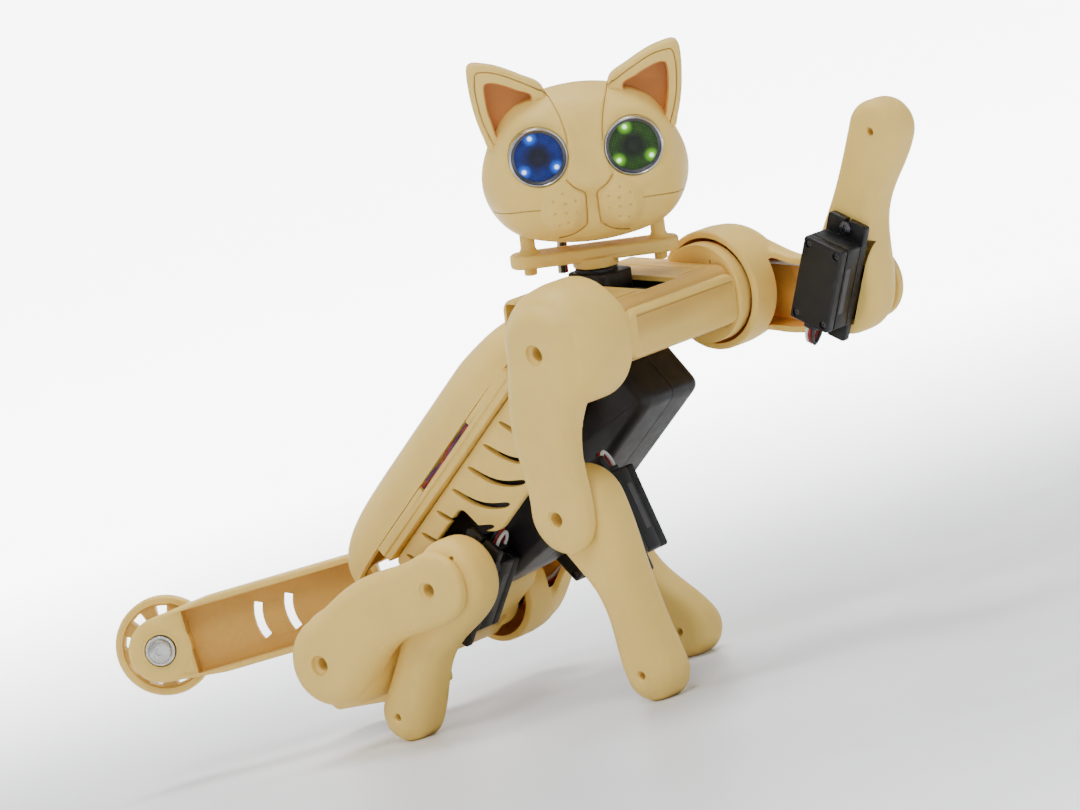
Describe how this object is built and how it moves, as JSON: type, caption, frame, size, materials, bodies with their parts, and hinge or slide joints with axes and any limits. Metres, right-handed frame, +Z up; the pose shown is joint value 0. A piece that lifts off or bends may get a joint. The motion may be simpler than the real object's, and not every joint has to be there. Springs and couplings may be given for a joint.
{
  "type": "robot cat",
  "caption": "Desk-top walking robot cat on micro servos, sitting back with one front leg raised, with a panning head and a swinging tail that ends in a small wheel.",
  "frame": {"origin": "middle of the bounding box, on the plane the three standing paws rest on", "axes": "+X the way the chest faces, +Y the cat's left, +Z up"},
  "size_m": [0.2711, 0.093, 0.1689],
  "materials": {
    "battery_black": "matte black plastic",
    "board_green": "green circuit board",
    "ear_tan": "matte tan plastic",
    "eye_mesh": "dark woven mesh",
    "eye_silver": "satin silver",
    "ivory": "satin moulded ivory plastic",
    "servo_black": "satin black plastic",
    "steel": "bright steel",
    "wire": "black insulated wire"
  },
  "bodies": {
    "torso": {"back_cover": "ivory", "battery_case": "battery_black", "chassis_tray": "ivory", "control_board": "board_green", "hip_housing": "ivory", "hip_servo_left": "servo_black", "hip_servo_right": "servo_black", "neck_servo": "servo_black", "rib_panel_left": "ivory", "rib_panel_right": "ivory", "shoulder_front_cover": "ivory", "shoulder_housing": "ivory", "shoulder_servo_left": "servo_black", "shoulder_servo_right": "servo_black", "tail_bracket": "ivory", "tail_servo": "servo_black"},
    "head": {"ear_insert_left": "ear_tan", "ear_insert_right": "ear_tan", "eye_board": "board_green", "eye_can_left": "eye_silver", "eye_can_right": "eye_silver", "eye_mesh_left": "eye_mesh", "eye_mesh_right": "eye_mesh", "face_shell": "ivory", "head_rear_shell": "ivory", "neck_cable": "wire", "neck_plate": "ivory"},
    "front_right_thigh": {"knee_screw_front_right": "steel", "servo_horn_front_right": "servo_black", "thigh_front_right": "ivory", "upper_screw_front_right": "steel"},
    "front_right_shank": {"knee_cable_front_right": "wire", "knee_servo_front_right": "servo_black", "shank_front_right": "ivory"},
    "front_left_thigh": {"knee_screw_front_left": "steel", "servo_horn_front_left": "servo_black", "thigh_front_left": "ivory", "upper_screw_front_left": "steel"},
    "front_left_shank": {"knee_cable_front_left": "wire", "knee_servo_front_left": "servo_black", "shank_front_left": "ivory"},
    "hind_right_thigh": {"knee_screw_hind_right": "steel", "servo_horn_hind_right": "servo_black", "thigh_hind_right": "ivory", "upper_screw_hind_right": "steel"},
    "hind_right_shank": {"knee_cable_hind_right": "wire", "knee_servo_hind_right": "servo_black", "shank_hind_right": "ivory"},
    "hind_left_thigh": {"knee_screw_hind_left": "steel", "servo_horn_hind_left": "servo_black", "thigh_hind_left": "ivory", "upper_screw_hind_left": "steel"},
    "hind_left_shank": {"knee_cable_hind_left": "wire", "knee_servo_hind_left": "servo_black", "shank_hind_left": "ivory"},
    "tail": {"tail_arm": "ivory", "tail_bearing": "steel", "tail_screw": "steel"},
    "wheel": {"tail_wheel": "ivory"}
  },
  "joints": [
    {"name": "neck_pan", "type": "hinge", "parent": "torso", "child": "head", "pos_m": [0.0433, 0.00055, 0.09808], "axis": [0.2309, 0, 0.973], "range_deg": [-35, 125]},
    {"name": "front_right_upper", "type": "hinge", "parent": "torso", "child": "front_right_thigh", "pos_m": [0.05886, 0.00055, 0.09439], "axis": [0, -1, 0], "range_deg": [-9.3, 150.7]},
    {"name": "front_right_lower", "type": "hinge", "parent": "front_right_thigh", "child": "front_right_shank", "pos_m": [0.04444, 0.00055, 0.05177], "axis": [0, -1, 0], "range_deg": [-29.2, 100.8]},
    {"name": "front_left_upper", "type": "hinge", "parent": "torso", "child": "front_left_thigh", "pos_m": [0.05886, 0.00055, 0.09439], "axis": [0, -1, 0], "range_deg": [-107.5, 52.5]},
    {"name": "front_left_lower", "type": "hinge", "parent": "front_left_thigh", "child": "front_left_shank", "pos_m": [0.10311, 0.00055, 0.08619], "axis": [0, -1, 0], "range_deg": [-67.3, 62.7]},
    {"name": "hind_right_upper", "type": "hinge", "parent": "torso", "child": "hind_right_thigh", "pos_m": [-0.05095, 0.00055, 0.0267], "axis": [0, -1, 0], "range_deg": [-117.5, 6.7]},
    {"name": "hind_right_lower", "type": "hinge", "parent": "hind_right_thigh", "child": "hind_right_shank", "pos_m": [-0.00803, 0.00055, 0.04023], "axis": [0, -1, 0], "range_deg": [0, 98.64]},
    {"name": "hind_left_upper", "type": "hinge", "parent": "torso", "child": "hind_left_thigh", "pos_m": [-0.05095, 0.00055, 0.0267], "axis": [0, -1, 0], "range_deg": [-123.5, 0.7]},
    {"name": "hind_left_lower", "type": "hinge", "parent": "hind_left_thigh", "child": "hind_left_shank", "pos_m": [-0.00968, 0.00055, 0.04464], "axis": [0, -1, 0], "range_deg": [-69.64, 27.36]},
    {"name": "tail_swing", "type": "hinge", "parent": "torso", "child": "tail", "pos_m": [-0.07195, 0.00055, 0.0382], "axis": [0, 0, 1], "range_deg": [-100, 20]},
    {"name": "wheel_spin", "type": "hinge", "parent": "tail", "child": "wheel", "pos_m": [-0.11791, -0.03802, 0.0382], "axis": [0.6428, -0.766, 0], "continuous": true}
  ]
}
